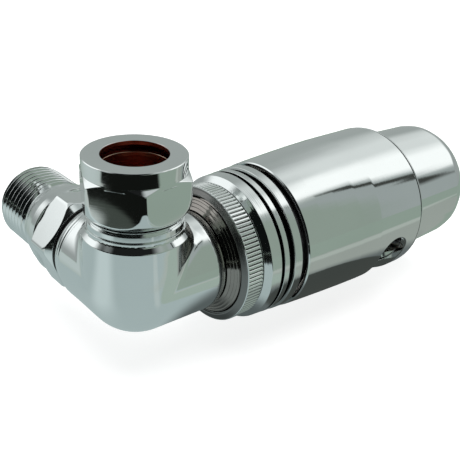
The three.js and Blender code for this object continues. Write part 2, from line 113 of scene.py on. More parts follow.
def on_axis(axis, station, radius, angle):
    """Points at a station along a port's centreline, a radius from it and an angle round it."""
    side = radius * np.cos(angle)
    rise = radius * np.sin(angle)
    station = station + 0 * side
    if axis == "head":
        return np.stack([station, -rise, side], -1)
    if axis == "pipe":
        return np.stack([side, rise, station], -1)
    return np.stack([side, station, rise], -1)


# ---- meshes ---------------------------------------------------------------------------------
def add_mesh(name, points, normals, faces):
    """A mesh object in metres with its own vertex normals, and its faces turned to agree with them."""
    points = np.asarray(points, float) * MM
    normals = np.asarray(normals, float)
    corners = np.array([f[:3] for f in faces])
    a, b, c = points[corners[:, 0]], points[corners[:, 1]], points[corners[:, 2]]
    facing = np.sum(np.cross(b - a, c - a) * normals[corners].sum(1), 1)
    faces = [f if out >= 0 else f[::-1] for f, out in zip(faces, facing)]
    mesh = bpy.data.meshes.new(name)
    mesh.from_pydata(points.tolist(), [], faces)
    mesh.polygons.foreach_set("use_smooth", [True] * len(faces))
    mesh.normals_split_custom_set_from_vertices(normals.tolist())
    mesh.update()
    piece = bpy.data.objects.new(name, mesh)
    bpy.context.scene.collection.objects.link(piece)
    return piece


def ring_faces(first, second):
    """Quads between two closed rows of vertex numbers. A row of one number is a pole."""
    count = max(len(first), len(second))
    faces = []
    for j in range(count):
        k = (j + 1) % count
        if len(first) == 1:
            faces.append((first[0], second[j], second[k]))
        elif len(second) == 1:
            faces.append((first[j], second[0], first[k]))
        else:
            faces.append((first[j], second[j], second[k], first[k]))
    return faces


def surface(axis, path, normals, angles, rule=None):
    """Rows of points and normals of an outline carried round an axis.

    rule(station, radius, angle) gives each point's own radius, for flats, ridges and threads.
    """
    tangents = np.stack([normals[:, 1], -normals[:, 0]], -1)
    angle = np.asarray(angles)[None, :]

    def place(shift, twist):
        station = (path[:, 0] + shift * tangents[:, 0])[:, None] + 0 * angle
        radius = (path[:, 1] + shift * tangents[:, 1])[:, None] + 0 * angle
        if rule:
            radius = rule(station, radius, angle + twist)
        return on_axis(axis, station, radius, angle + twist)

    rows = place(0, 0)
    plain = on_axis(axis, normals[:, :1] + 0 * angle, normals[:, 1:] + 0 * angle, angle)
    if rule:
        small = 1e-3
        along = place(small, 0) - place(-small, 0)
        around = place(0, small) - place(0, -small)
        shaped = np.cross(along, around)
        length = np.linalg.norm(shaped, axis=-1, keepdims=True)
        shaped = shaped / np.maximum(length, 1e-12)
        shaped *= np.sign(np.sum(shaped * plain, -1, keepdims=True))
        plain = np.where(length > 1e-9, shaped, plain)
    return rows, plain


def turned(name, axis, points, bevel=0.12, steps=FINE, rule=None, closed=False, spacing=None):
    """A turned piece. An open outline starts and ends on the axis."""
    path, normals = rounded(points, bevel, closed)
    if spacing:
        path, normals = refined(path, normals, spacing, closed)
    angles = np.arange(steps) * TURN / steps
    rows, row_normals = surface(axis, path, normals, angles, rule)
    vertices, vertex_normals, numbers = [], [], []
    for k, row in enumerate(rows):
        pole = not closed and k in (0, len(rows) - 1)
        start = len(vertices)
        chosen = 1 if pole else steps
        vertices.extend(row[:chosen])
        vertex_normals.extend(row_normals[k][:chosen])
        numbers.append(list(range(start, start + chosen)))
        if pole:
            vertices[-1] = on_axis(axis, path[k, 0], np.array(0.0), 0.0)
            vertex_normals[-1] = on_axis(axis, normals[k, 0], np.array(0.0), 0.0)
    faces = []
    for first, second in zip(numbers, numbers[1:] + (numbers[:1] if closed else [])):
        faces += ring_faces(first, second)
    return add_mesh(name, vertices, vertex_normals, faces)


def refined(path, normals, spacing, closed):
    """The same outline with no step longer than spacing."""
    points, sides = [], []
    count = len(path)
    for i in range(count if closed else count - 1):
        j = (i + 1) % count
        pieces = max(1, math.ceil(np.linalg.norm(path[j] - path[i]) / spacing))
        for k in range(pieces):
            t = k / pieces
            points.append(path[i] * (1 - t) + path[j] * t)
            side = normals[i] * (1 - t) + normals[j] * t
            sides.append(side / np.linalg.norm(side))
    if not closed:
        points.append(path[-1])
        sides.append(normals[-1])
    return np.array(points), np.array(sides)


# ---- camera ---------------------------------------------------------------------------------
CAMERA_PLACE = (-85.56, -131.43, 94.36)
CAMERA_HEADING, CAMERA_DIP, CAMERA_ROLL = (math.radians(a) for a in (49.04, 27.37, 2.94))


def make_camera():
    data = bpy.data.cameras.new("camera")
    data.lens = 60.0
    data.sensor_width = 36.0
    data.clip_start = 0.005
    level = math.cos(CAMERA_DIP)
    forward = Vector((
        math.cos(CAMERA_HEADING) * level, math.sin(CAMERA_HEADING) * level, -math.sin(CAMERA_DIP),
    ))
    right = forward.cross(Vector((0, 0, 1))).normalized()
    up = right.cross(forward)
    turned_right = math.cos(CAMERA_ROLL) * right + math.sin(CAMERA_ROLL) * up
    turned_up = math.cos(CAMERA_ROLL) * up - math.sin(CAMERA_ROLL) * right
    place = Matrix((turned_right, turned_up, -forward)).transposed().to_4x4()
    place.translation = [length * MM for length in CAMERA_PLACE]
    camera = bpy.data.objects.new("camera", data)
    camera.matrix_world = place
    bpy.context.scene.collection.objects.link(camera)
    bpy.context.scene.camera = camera


make_camera()


# ---- materials ------------------------------------------------------------------------------
class Nodes:
    """A short way to write a material's or a world's node tree."""

    def __init__(self, owner):
        owner.use_nodes = True
        self.tree = owner.node_tree
        self.tree.nodes.clear()

    def add(self, kind, inputs=None, **settings):
        node = self.tree.nodes.new(kind)
        for key, value in settings.items():
            setattr(node, key, value)
        for key, value in (inputs or {}).items():
            socket = node.inputs[key]
            if isinstance(value, bpy.types.NodeSocket):
                self.tree.links.new(value, socket)
            else:
                socket.default_value = value
        return node

    def math(self, operation, *values):
        inputs = dict(enumerate(values))
        return self.add("ShaderNodeMath", inputs, operation=operation).outputs[0]

    def blend(self, factor, first, second):
        node = self.add("ShaderNodeMix", data_type="RGBA")
        sockets = (node.inputs[0], node.inputs[6], node.inputs[7])
        for socket, value in zip(sockets, (factor, first, second)):
            if isinstance(value, bpy.types.NodeSocket):
                self.tree.links.new(value, socket)
            else:
                socket.default_value = value
        return node.outputs[2]

    def ramp(self, value, first, second, low_end=0.0, high_end=1.0, kind="LINEAR"):
        inputs = {0: value, 1: low_end, 2: high_end, 3: first, 4: second}
        return self.add("ShaderNodeMapRange", inputs, interpolation_type=kind).outputs[0]


def rgb(red, green, blue):
    return (red, green, blue, 1.0)


LINING_ROUGHNESS = 0.22          # how much duller the copper linings and the painted groove shade are than the metal around them


def inside_mask(nodes, place, axis, radius, start, end):
    """1 nearer to a port's centreline than radius, between two stations, and 0 elsewhere."""
    along = {"head": 0, "tail": 1, "pipe": 2}[axis]
    across = [1.0, 1.0, 1.0]
    across[along] = 0.0
    flat = nodes.add("ShaderNodeVectorMath", {0: place, 1: across}, operation="MULTIPLY").outputs[0]
    distance = nodes.add("ShaderNodeVectorMath", {0: flat}, operation="LENGTH").outputs["Value"]
    station = nodes.add("ShaderNodeSeparateXYZ", {0: place}).outputs[along]
    mask = nodes.math("LESS_THAN", distance, radius * MM)
    mask = nodes.math("MULTIPLY", mask, nodes.math("GREATER_THAN", station, start * MM))
    return nodes.math("MULTIPLY", mask, nodes.math("LESS_THAN", station, end * MM))


BUMP_SIZE = 0.0002               # metres
TURNED = {"head": (1.0, 0.02, 0.02), "tail": (0.02, 1.0, 0.02), "pipe": (0.02, 0.02, 1.0)}


def metal(name, colour, roughness, shade=0.9, marks=None, mark_depth=0.02, lining_or_shade=None):
    """Plated or turned metal: faint tone changes, smudges and fine polish marks.

    marks is the centreline that turning marks run round, or None. The last argument gives another colour to
    the
    surfaces near a centreline, as (axis, radius, start, end, colour): copper linings in the bores, and
    painted shade in the grooves of the knurled ring and of the grooved base.
    """
    smudge = 0.03
    material = bpy.data.materials.new(name)
    nodes = Nodes(material)
    place = nodes.add("ShaderNodeTexCoord").outputs["Object"]
    cloud = nodes.add("ShaderNodeTexNoise", {"Vector": place, "Scale": 60.0, "Detail": 3.0}).outputs[0]
    fine = nodes.add("ShaderNodeTexNoise", {"Vector": place, "Scale": 900.0, "Detail": 2.0}).outputs[0]
    darker = rgb(*(c * shade for c in colour))
    tone = nodes.blend(nodes.ramp(cloud, 0.0, 1.0, 0.35, 0.65), darker, rgb(*colour))
    rough = nodes.math("ADD", nodes.ramp(cloud, roughness, roughness + smudge, 0.45, 0.7),
                       nodes.ramp(fine, 0.0, smudge * 0.6, 0.5, 0.8))
    # Copper linings in bores, and painted shade in grooves: another colour near a centreline.
    if lining_or_shade:
        inside = inside_mask(nodes, place, *lining_or_shade[:4])
        tone = nodes.blend(inside, tone, rgb(*lining_or_shade[4]))
        rough = nodes.math("ADD", rough, nodes.math("MULTIPLY", inside, LINING_ROUGHNESS))
    height = fine
    if marks:
        scaled = nodes.add("ShaderNodeVectorMath", {0: place, 1: TURNED[marks]}, operation="MULTIPLY")
        lines = nodes.add("ShaderNodeTexNoise", {
            "Vector": scaled.outputs[0], "Scale": 2600.0, "Detail": 2.0,
        }).outputs[0]
        height = nodes.math("ADD", lines, nodes.math("MULTIPLY", fine, 0.3))
    bump = nodes.add("ShaderNodeBump", {"Height": height, "Strength": mark_depth, "Distance": BUMP_SIZE})
    shader = nodes.add("ShaderNodeBsdfPrincipled", {
        "Base Color": tone, "Metallic": 1.0, "Roughness": rough, "Normal": bump.outputs[0],
    })
    nodes.add("ShaderNodeOutputMaterial", {"Surface": shader.outputs[0]})
    return material


def soft_material(name, colour, roughness, second):
    """Moulded plastic or rubber with a fine grain, cloudy between two colours."""
    material = bpy.data.materials.new(name)
    nodes = Nodes(material)
    place = nodes.add("ShaderNodeTexCoord").outputs["Object"]
    cloud = nodes.add("ShaderNodeTexNoise", {"Vector": place, "Scale": 180.0, "Detail": 4.0}).outputs[0]
    fine = nodes.add("ShaderNodeTexNoise", {"Vector": place, "Scale": 700.0, "Detail": 3.0}).outputs[0]
    tone = nodes.blend(nodes.ramp(cloud, 0.0, 1.0, 0.3, 0.7), rgb(*colour), rgb(*second))
    rough = nodes.ramp(fine, roughness - 0.08, roughness + 0.08, 0.3, 0.7)
    bump = nodes.add("ShaderNodeBump", {"Height": fine, "Strength": 0.2, "Distance": BUMP_SIZE})
    shader = nodes.add("ShaderNodeBsdfPrincipled", {
        "Base Color": tone, "Roughness": rough, "Normal": bump.outputs[0],
    })
    nodes.add("ShaderNodeOutputMaterial", {"Surface": shader.outputs[0]})
    return material


CHROME = (0.86, 0.885, 0.88)
COPPER_RED = (0.72, 0.29, 0.21)
# Painted shade: grey at the knurled ring's groove roots, on its chamfered ends and inside it.
ROOT_SHADE_GREY = (0.26, 0.255, 0.25)
# Painted shade: black in the head base's two grooves.
GROOVE_SHADE_BLACK = (0.012, 0.012, 0.012)
NUT_TOP = high("pipe_nut").z
SOCKET_LINING = ("pipe", 9.9, 12.4, 30, COPPER_RED)
NUT_LINING = ("pipe", 10.7, 24, NUT_TOP - 0.06, COPPER_RED)
RIDGE_ROOT_SHADE = ("head", 17.3, 19, 24.7, ROOT_SHADE_GREY)
GROOVE_SHADE = ("head", 18.72, 27.5, 36.2, GROOVE_SHADE_BLACK)
chrome = metal("chrome_plate", CHROME, 0.035, shade=0.97, mark_depth=0.01)
body_chrome = metal("body_chrome", CHROME, 0.035, shade=0.97, mark_depth=0.01, lining_or_shade=SOCKET_LINING)
# The knurled ring's chrome greys its groove roots as painted shade.
ring_chrome = metal("knurled_chrome", CHROME, 0.08, shade=0.94, marks="head", mark_depth=0.08,
                    lining_or_shade=RIDGE_ROOT_SHADE)
# The head base's chrome blacks its grooves as painted shade.
base_chrome = metal("grooved_chrome", CHROME, 0.07, shade=0.94, marks="head", mark_depth=0.12,
                    lining_or_shade=GROOVE_SHADE)
tail_chrome = metal("tail_chrome", CHROME, 0.09, shade=0.92, marks="tail", mark_depth=0.05)
nut_chrome = metal("nut_chrome", CHROME, 0.04, shade=0.95, marks="pipe", mark_depth=0.008,
                   lining_or_shade=NUT_LINING)
nickel = metal("bright_nickel", (0.4, 0.37, 0.345), 0.08, shade=0.7, marks="head", mark_depth=0.15)
brass = metal("raw_brass", (0.9, 0.64, 0.48), 0.16, shade=0.75, marks="pipe", mark_depth=0.2)
bright_brass = metal("turned_brass", (0.72, 0.55, 0.27), 0.26, shade=0.8, marks="head", mark_depth=0.2)
stainless = metal("stainless_steel", (0.62, 0.63, 0.64), 0.24, shade=0.85, marks="head", mark_depth=0.15)
spring_steel = metal("spring_steel", (0.4, 0.41, 0.43), 0.32, shade=0.75, mark_depth=0.1)
copper = metal("copper_capsule", (0.42, 0.15, 0.1), 0.34, shade=0.7, marks="head", mark_depth=0.3)
rubber = soft_material("seal_rubber", (0.004, 0.004, 0.004), 0.5, (0.009, 0.009, 0.009))
black_plastic = soft_material("black_polymer", (0.014, 0.015, 0.016), 0.45, (0.028, 0.029, 0.03))
white_plastic = soft_material("white_polymer", (0.74, 0.73, 0.68), 0.45, (0.66, 0.65, 0.6))


def finish_piece(piece, body, slot, material, *nodes):
    piece.data.materials.append(material)
    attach(piece, body)
    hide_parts(*nodes)


# ---- valve body -----------------------------------------------------------------------------
# The outside of the casting is three round arms grown together. The machined ends are turned.
COLUMN = [(0, 12.5), (12.9, 12.5, 0.25), (14.1, 11.4, 0.15), (16, 11.4)]
HEAD_ARM = [(0, 12.75), (14.8, 12.85, 3), (16.4, 12.6, 2), (17.4, 12.1)]
TAIL_ARM = [(0, 12.6), (14.1, 12.7, 0.3), (15, 12.7)]
CORNER = 12.75                   # radius of the round corner where the three meet
CORNER_REACH = 11                # the arms have their own radius from this station on
COLUMN_CUT = 14.4                # stations where the casting gives way to a turned end
HEAD_CUT = 15.6
TAIL_CUT = 13.95
CUTS = (("pipe", 2, COLUMN_CUT), ("head", 0, HEAD_CUT), ("tail", 1, TAIL_CUT))
FILLET = 5                       # reach of the fill in the corners between arms
PIPE_FADE = (9.5, 12.7)          # stations between which that fill dies out towards a port
TAIL_FADE = (11, 13.9)
NEAREST, FARTHEST = 10.0, 30.0   # the surface lies between these distances from the middle
SHOULDER_ROWS = (12.78, 12.84, 12.9, 12.96, 13.02)   # heights of extra rows round the column's edge


def ramp(value, start, end):
    t = np.clip((value - start) / (end - start), 0, 1)
    return t * t * (3 - 2 * t)


def arm_gap(points, axis, outline):
    """Distance outside one arm, and the direction straight away from it."""
    station = points[:, axis]
    across = points.copy()
    across[:, axis] = np.minimum(station, 0)
    distance = np.linalg.norm(across, axis=1)
    path, _ = rounded(outline, 0.3)
    size = np.interp(station, path[:, 0], path[:, 1])
    swell = (CORNER - outline[0][1]) * (1 - ramp(station, 0, CORNER_REACH))
    return distance - size - swell, across / distance[:, None]


def body_gap(points):
    """How far points lie outside the three arms, with the inside corners between them filled."""
    gaps = [arm_gap(points, 2, COLUMN), arm_gap(points, 0, HEAD_ARM), arm_gap(points, 1, TAIL_ARM)]
    fade = (1 - ramp(points[:, 2], *PIPE_FADE)) * (1 - ramp(points[:, 1], *TAIL_FADE))
    total, away = gaps[0]
    for gap, direction in gaps[1:]:
        square = 1 - np.sum(away * direction, 1)
        reach = FILLET * np.clip(square, 0, 1) * fade + 1e-6
        overlap = np.maximum(reach - np.abs(total - gap), 0) / reach
        nearer = (total < gap)[:, None]
        away = np.where(nearer, away, direction)
        total = np.minimum(total, gap) - overlap ** 2 * reach / 4
    return total


def cast_body():
    """Triangles of the body's outside, cut off square at the three ports.

    Each point of a sphere is moved along its own ray to where the ray leaves the body.
    """
    shell = bmesh.new()
    bmesh.ops.create_icosphere(shell, subdivisions=7, radius=1)
    rays = np.array([v.co for v in shell.verts], float)
    rays /= np.linalg.norm(rays, axis=1)[:, None]
    inner = np.full(len(rays), NEAREST)
    outer = np.full(len(rays), FARTHEST)
    for _ in range(24):
        middle = (inner + outer) / 2
        outside = body_gap(rays * middle[:, None]) > 0
        outer = np.where(outside, middle, outer)
        inner = np.where(outside, inner, middle)
    for vertex, spot in zip(shell.verts, rays * outer[:, None]):
        vertex.co = spot
    for height in SHOULDER_ROWS:
        everything = shell.verts[:] + shell.edges[:] + shell.faces[:]
        bmesh.ops.bisect_plane(shell, geom=everything, dist=1e-3, plane_co=(0, 0, height),
                               plane_no=(0, 0, 1))
    for _, axis, cut in CUTS:
        normal = Vector((0, 0, 0))
        normal[axis] = 1
        everything = shell.verts[:] + shell.edges[:] + shell.faces[:]
        bmesh.ops.bisect_plane(shell, geom=everything, dist=1e-5, plane_co=normal * cut,
                               plane_no=normal, clear_outer=True)
    bmesh.ops.triangulate(shell, faces=shell.faces[:])
    return shell


def body_normals(points):
    small = 0.02
    columns = []
    for axis in range(3):
        step = np.zeros(3)
        step[axis] = small
        columns.append(body_gap(points + step) - body_gap(points - step))
    result = np.stack(columns, -1)
    return result / np.linalg.norm(result, axis=1)[:, None]


# The machined ends, from the casting's edge over the rim and down the bore to its floor.
BODY_ENDS = {
    "pipe": [
        (COLUMN_CUT, 11.4), (14.9, 11.4), (15.05, 10.8), (15.3, 11.25), (16.5, 11.25), (16.65, 10.75),
        (17.5, 11.1), (17.7, 10.1), (26, 10.1), (26, 9.65), (24, 7.65), (12.5, 7.65), (12.5, 0),
    ],
    "head": [
        (HEAD_CUT, 12.74), (16.4, 12.6, 2), (17.4, 12.1, 0.3), (17.4, 10), (11.5, 10), (11.5, 8.4),
        (5.4, 8.4), (5.4, 5.8), (6.4, 5.8), (6.4, 4.6), (3, 4.6), (3, 0),
    ],
    "tail": [
        (TAIL_CUT, 12.69), (14.1, 12.7), (14.4, 12.35), (14.55, 11.9), (14.9, 12.1), (15.5, 12.1),
        (15.65, 11.75), (15.8, 11.75), (15.95, 12.05), (16.5, 12.05), (16.65, 11.65), (16.8, 11.65),
        (16.95, 11.95), (17.8, 11.8, 0.4), (18.4, 11.2, 0.3), (18.4, 9.9), (10.6, 9.9), (10.6, 0),
    ],
}


def angle_round(axis, spots):
    """The angle of points round a centreline, as on_axis() counts it."""
    if axis == "head":
        return np.arctan2(-spots[:, 1], spots[:, 2])
    return np.arctan2(spots[:, 2 if axis == "tail" else 1], spots[:, 0])


def make_body():
    shell = cast_body()
    shell.verts.index_update()
    vertices = [np.array(v.co) for v in shell.verts]
    faces = [tuple(v.index for v in f.verts) for f in shell.faces]
    normals = list(body_normals(np.array(vertices)))
    rims = {axis: [] for axis in BODY_ENDS}
    for vertex in shell.verts:
        for axis, k, cut in CUTS:
            if vertex.is_boundary and abs(vertex.co[k] - cut) < 1e-3:
                rims[axis].append(vertex.index)
    shell.free()
    for axis, outline in BODY_ENDS.items():
        path, sides = rounded(outline, 0.1)
        angles = angle_round(axis, np.array([vertices[i] for i in rims[axis]]))
        order = np.argsort(angles)
        row = [rims[axis][i] for i in order]
        angles = angles[order]
        rows, row_normals = surface(axis, path, sides, angles)
        for k in range(1, len(path)):
            start = len(vertices)
            if k == len(path) - 1:
                vertices.append(on_axis(axis, path[k, 0], np.array(0.0), 0.0))
                normals.append(on_axis(axis, sides[k, 0], np.array(0.0), 0.0))
                fresh = [start]
            else:
                vertices.extend(rows[k])
                normals.extend(row_normals[k])
                fresh = list(range(start, start + len(angles)))
            faces += ring_faces(row, fresh)
            row = fresh
    return add_mesh("cast_valve_body", vertices, normals, faces)


finish_piece(make_body(), "valve", "chrome_plate", body_chrome, "valve_body")


# ---- hexagons, threads and ridges -----------------------------------------------------------
def soft_min(first, second, edge):
    """The smaller of two values, blended where they are less than edge apart."""
    overlap = np.maximum(edge - np.abs(first - second), 0) / edge
    return np.minimum(first, second) - overlap ** 2 * edge / 4


def soft_max(first, second, edge):
    return -soft_min(-first, -second, edge)


def flats(angle, across_flats, corner, edge=0.35):
    """Radius of a hexagon with its corners slightly broken, one of them at the angle corner."""
    half = across_flats / 2
    turn = (angle - math.radians(corner)) % (TURN / 6) - TURN / 12
    radius = half / np.cos(turn)
    neighbour = half / np.cos(TURN / 6 - np.abs(turn))
    return soft_min(radius, neighbour, edge)


ACROSS_FLATS = 23.4
NUT_CORNER = -114.5              # degrees round the pipe's centreline
TAIL_CORNER = 113
COLLAR = 11.85                   # radius of the nut's round collar
COLLAR_START = 26.9              # stations between which the flats slope up to it
COLLAR_FULL = 27.25


def nut_rule(station, radius, angle):
    """The nut's six flats, which end in a short slope up to the collar."""
    hexagon = soft_min(radius, flats(angle, ACROSS_FLATS, NUT_CORNER), 0.2)
    collar = np.where(station > COLLAR_START, COLLAR, 0.0)
    lifted = soft_max(hexagon, collar - np.maximum(COLLAR_FULL - station, 0) * 3, 0.15)
    return np.where((radius > 11.3) & (station < 28.4), lifted, radius)


pipe_nut = turned("polished_pipe_nut", "pipe", [
    (18.1, 10.5), (18.1, 11.35, 0.15), (19.4, 12.45, 2), (20.8, 13, 3), (22.8, 13.28, 4),
    (COLLAR_START, 13.36, 0.15), (28, COLLAR, 0.15), (NUT_TOP - 0.2, COLLAR, 0.1),
    (NUT_TOP, COLLAR - 0.2, 0.1), (NUT_TOP, 7.65, 0.15), (30.65, 7.65, 0.1), (27.8, 10.5),
], bevel=0.1, steps=360, rule=nut_rule, closed=True, spacing=0.16)
finish_piece(pipe_nut, "compression_nut", "chrome_plate", nut_chrome, "pipe_nut")

olive = turned("brass_olive", "pipe", [
    (25.2, 7.7), (25.2, 7.95), (26.5, 9.2, 0.6), (27.6, 9.2, 0.6), (28.9, 7.95), (28.9, 7.7),
], bevel=0.15, steps=MEDIUM, closed=True)
finish_piece(olive, "valve", "raw_brass", brass, "pipe_olive")

TAIL_END = high("radiator_tail").y
HEX_END = 28.4                   # where the tail's flats stop
PITCH = 1.814                    # the G1/2 thread
DEPTH = 1.16
THREAD_RADIUS = 10.45
THREAD_START = 38.2


def thread_groove(station, angle, pitch, depth):
    """Depth of a V thread with round crests and roots."""
    phase = (station / pitch - angle / TURN) % 1.0
    slope = np.abs(2 * phase - 1)
    return depth * (1 - soft_max(soft_min(slope * 1.25 - 0.1, 0 * slope + 1, 0.25), 0 * slope, 0.25))


def tail_rule(station, radius, angle):
    """The tail's six flats, and the thread at its far end."""
    hexagon = soft_min(radius, flats(angle, ACROSS_FLATS, TAIL_CORNER), 0.3)
    milled = (1 - ramp(station, HEX_END, HEX_END + 0.1)) * (radius > 11.2) * (station > 19.8)
    radius = radius + milled * (hexagon - radius)
    run_in = ramp(station, THREAD_START - 0.4, THREAD_START + 1.2)
    cut = THREAD_RADIUS - run_in * thread_groove(station, angle, PITCH, DEPTH)
    threaded = soft_min(radius, cut, 0.15)
    return np.where((station > THREAD_START - 0.4) & (radius > 9), threaded, radius)


radiator_tail = turned("radiator_tail_piece", "tail", [
    (11.2, 6.5), (11.2, 9.55), (19.7, 9.55), (19.7, 11.5, 0.15), (21, 12.9, 0.5), (22, 13.35, 0.5),
    (27.4, 13.35, 0.3), (HEX_END, 11.75, 0.1), (28.55, 12.25, 0.15), (29.1, 12.2, 0.3),
    (29.25, 12.0, 0.1), (31.5, 11.8, 4), (34, 11.25, 4), (35.6, 10.7, 0.4), (36.6, 10.5, 0.2),
    (36.9, 9.3, 0.1), (37.9, 9.3, 0.2), (38.6, THREAD_RADIUS, 0.3), (TAIL_END - 1, THREAD_RADIUS, 0.3),
    (TAIL_END, 9.5, 0.15), (TAIL_END, 6.5, 0.25),
], bevel=0.1, steps=300, rule=tail_rule, closed=True, spacing=0.14)
finish_piece(radiator_tail, "valve", "chrome_plate", tail_chrome, "radiator_tail")

SEAL_MIDDLE = 19.05
SEAL_RADIUS = 10.5
SEAL_SECTION = 0.5               # radius of the rubber's round section
seal = turned("rubber_tail_seal", "tail", [
    (SEAL_MIDDLE + SEAL_SECTION * math.cos(a), SEAL_RADIUS + SEAL_SECTION * math.sin(a))
    for a in np.linspace(math.pi, -math.pi, 24)[:-1]
], bevel=0.3, steps=MEDIUM, closed=True)
finish_piece(seal, "valve", "seal_rubber", rubber, "tail_seal")


# ---- bonnet, knurled ring and head base -----------------------------------------------------
HEAD_PITCH = 1.5                 # the M30 x 1.5 thread under the knurled ring
HEAD_DEPTH = 0.9
HEAD_THREAD = 15


def bonnet_rule(station, radius, angle):
    cut = HEAD_THREAD - thread_groove(station, angle, HEAD_PITCH, HEAD_DEPTH)
    threaded = (station > 19.3) & (station < 22.2) & (radius > 13)
    return np.where(threaded, soft_min(radius, cut, 0.15), radius)


bonnet = turned("threaded_bonnet", "head", [
    (13, 6.7), (13, 9.7), (17.75, 9.7), (17.75, 12.3), (18.35, 12.9), (18.15, 13.1), (18.75, 13.7),
    (18.55, 13.9), (19.1, 14.45), (18.95, 14.6), (19.3, HEAD_THREAD), (21.9, HEAD_THREAD, 0.2),
    (22.4, 14.4, 0.2), (22.4, 6.8), (28, 6.8), (28, 5), (24.5, 5), (24.5, 3.2), (23.1, 3.2), (23.1, 1.8),
    (21.9, 1.8), (21.9, 6.7),
], bevel=0.1, rule=bonnet_rule, closed=True, spacing=0.25)
finish_piece(bonnet, "valve", "bright_nickel", nickel, "valve_bonnet")

RIDGES = 104
RIDGE_DEPTH = 0.45
RIDGE_STEPS = 12                 # steps round the ring for each ridge
RING_RADIUS = high("knurled_ring").z


def ridge_rule(station, radius, angle):
    """Narrow grooves between wide flat ridges, which run out before the ring's two edges."""
    groove = RIDGE_DEPTH * (0.5 + 0.5 * np.cos(RIDGES * angle)) ** 3
    ends = ramp(station, 20.05, 20.5) * (1 - ramp(station, 24.35, 24.75))
    return np.where(radius > 17.3, soft_min(radius, RING_RADIUS - groove * ends, 0.05), radius)


ring = turned("knurled_union_ring", "head", [
    (19.3, 15.6, 0.1), (19.3, 15.9, 0.15), (19.85, 16.9, 0.3), (20.1, RING_RADIUS, 0.1),
    (24.65, RING_RADIUS, 0.2), (24.8, 17.1, 0.2), (24.8, 13.6), (24, 13.6), (24, 15.3), (19.7, 15.3),
    (19.7, 15.6),
], bevel=0.08, steps=RIDGES * RIDGE_STEPS, rule=ridge_rule, closed=True, spacing=0.4)
finish_piece(ring, "union_ring", "chrome_plate", ring_chrome, "knurled_ring")

base = turned("grooved_head_base", "head", [
    (22.7, 8), (22.7, 13.3), (23.1, 13.3), (23.1, 12.7), (23.9, 12.7), (23.9, 13.3), (25.2, 13.3),
    (25.2, 17.2, 0.1), (26.5, 18.8, 0.3), (29.5, 18.95, 0.12), (29.5, 17.4), (30.4, 17.4),
    (30.4, 19.05, 0.12), (31.9, 19.1, 0.15), (32.3, 18.1, 0.15), (33.3, 18.1, 0.15), (33.65, 19.3, 0.15),
    (36, 19.4, 0.15), (36, 8),
], bevel=0.08, closed=True)
finish_piece(base, "valve", "chrome_plate", base_chrome, "head_base")


# ---- inside the head ------------------------------------------------------------------------
capsule = turned("ribbed_copper_capsule", "head", [
    (56.6, 0), (56.6, 2.4), (51.4, 2.4), (51.4, 12.2), (60.2, 12.2), (60.8, 13.2, 0.3),
    (67, 13.2, 0.3), (68, 12.3, 0.5), (69, 13.2, 0.4), (72, 13.2, 0.4), (73, 12.3, 0.5),
    (74, 13.2, 0.4), (88, 13.2, 2), (91, 11, 2), (92, 5, 1), (92, 0),
], bevel=0.2, steps=MEDIUM)
finish_piece(capsule, "carrier", "copper_capsule", copper, "sensor_capsule")

SPRING_START, SPRING_END = 15.3, 18.65
SPRING_RADIUS = 4.4
SPRING_WIRE = 0.2                # half the wire's thickness
SPRING_COILS = 3
COIL_STEPS = 32                  # steps along each coil
WIRE_STEPS = 12                  # steps round the wire


def make_spring():
    """The spindle's spring: it stands in the insert, with room left
    at its free end for the spindle's own stroke."""
    along = np.linspace(0, 1, SPRING_COILS * COIL_STEPS + 1)[:, None]
    around = (np.arange(WIRE_STEPS) * TURN / WIRE_STEPS)[None, :]
    middle = SPRING_START + SPRING_WIRE + along * (SPRING_END - SPRING_START - 2 * SPRING_WIRE)
    angle = along * SPRING_COILS * TURN + 0 * around
    rise, out = np.cos(around) + 0 * along, np.sin(around) + 0 * along
    points = on_axis("head", middle + SPRING_WIRE * rise, SPRING_RADIUS + SPRING_WIRE * out, angle)
    normals = on_axis("head", rise, out, angle)
    numbers = [list(range(k * WIRE_STEPS, (k + 1) * WIRE_STEPS)) for k in range(len(points))]
    faces = []
    for first, second in zip(numbers, numbers[1:]):
        faces += ring_faces(first, second)
    faces += [tuple(numbers[0]), tuple(numbers[-1])]
    piece = add_mesh("coiled_spindle_spring", points.reshape(-1, 3), normals.reshape(-1, 3), faces)
    piece.data.materials.append(spring_steel)
    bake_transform(piece)
    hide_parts("spindle_spring")


make_spring()


# ---- handwheel ------------------------------------------------------------------------------
SLOT_WIDTH = 10.4
SLOT_CENTRE = 71.6
SLOT_FIRST, SLOT_LAST = 96, 162  # degrees round the head's centreline, ends included
SLOT_LIP = 0.25                  # how far the slot's edges are rounded over
BARREL_END = high("handwheel_barrel").x
BARREL_RADIUS = high("handwheel_barrel").z
BORE = 18.9
COLUMNS = 288                    # steps round the barrel
PATCH = (70, 136)                # the columns either side of a slot
PATCH_FROM, PATCH_TO = 64.6, 78.6
PATCH_ROWS = 14


def barrel_rows():
    """The barrel's closed outline, with even rows where the slots are."""
    outline = [
        (38, BORE), (38, 19.4, 0.1), (38.3, 19.7, 0.2), (44, 20.05, 60), (50, 20.35, 60),
        (57, 20.65, 60), (64, BARREL_RADIUS, 60), (PATCH_FROM, BARREL_RADIUS), (PATCH_TO, BARREL_RADIUS),
        (BARREL_END, BARREL_RADIUS, 0.2), (BARREL_END, BORE, 0.1), (PATCH_TO, BORE), (PATCH_FROM, BORE),
    ]
    path, normals = rounded(outline, 0.1, closed=True)
    points, sides = [], []
    for i in range(len(path)):
        j = (i + 1) % len(path)
        patch = {round(path[i][0], 6), round(path[j][0], 6)} == {PATCH_FROM, PATCH_TO}
        pieces = PATCH_ROWS if patch else 1
        for k in range(pieces):
            points.append(path[i] + (path[j] - path[i]) * k / pieces)
            sides.append(normals[i])
    return np.array(points), np.array(sides)


